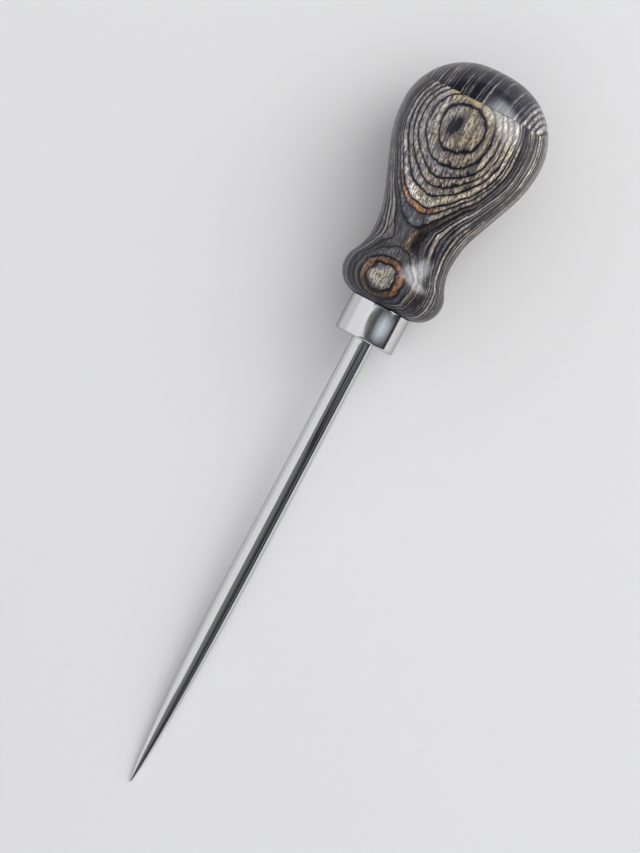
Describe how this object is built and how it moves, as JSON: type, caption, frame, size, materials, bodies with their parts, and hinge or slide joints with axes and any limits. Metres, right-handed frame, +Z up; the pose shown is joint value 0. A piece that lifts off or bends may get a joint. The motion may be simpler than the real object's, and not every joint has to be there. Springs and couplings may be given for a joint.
{
  "type": "marking awl",
  "caption": "Awl with a tapered round steel blade, a polished ferrule and a turned, waisted handle of laminated dyed veneers, for piercing and scribing.",
  "frame": {"origin": "on the resting surface, under the middle of the awl's length and width", "axes": "+X towards the blade's point, +Z up with the awl lying on its point and its bulge, +Y to the side"},
  "size_m": [0.2032, 0.0394, 0.0394],
  "materials": {
    "blade_steel": "polished",
    "ferrule_steel": "polished",
    "tan_veneer": "gloss",
    "grey_veneer": "gloss",
    "charcoal_veneer": "gloss",
    "amber_veneer": "gloss"
  },
  "bodies": {
    "root": {"blade": "blade_steel", "ferrule": "ferrule_steel", "body_tan_veneers": "tan_veneer", "body_grey_veneers": "grey_veneer", "body_charcoal_veneers": "charcoal_veneer", "body_amber_veneers": "amber_veneer", "cap_tan_veneers": "tan_veneer", "cap_grey_veneers": "grey_veneer", "cap_charcoal_veneers": "charcoal_veneer", "cap_amber_veneers": "amber_veneer"}
  },
  "joints": []
}
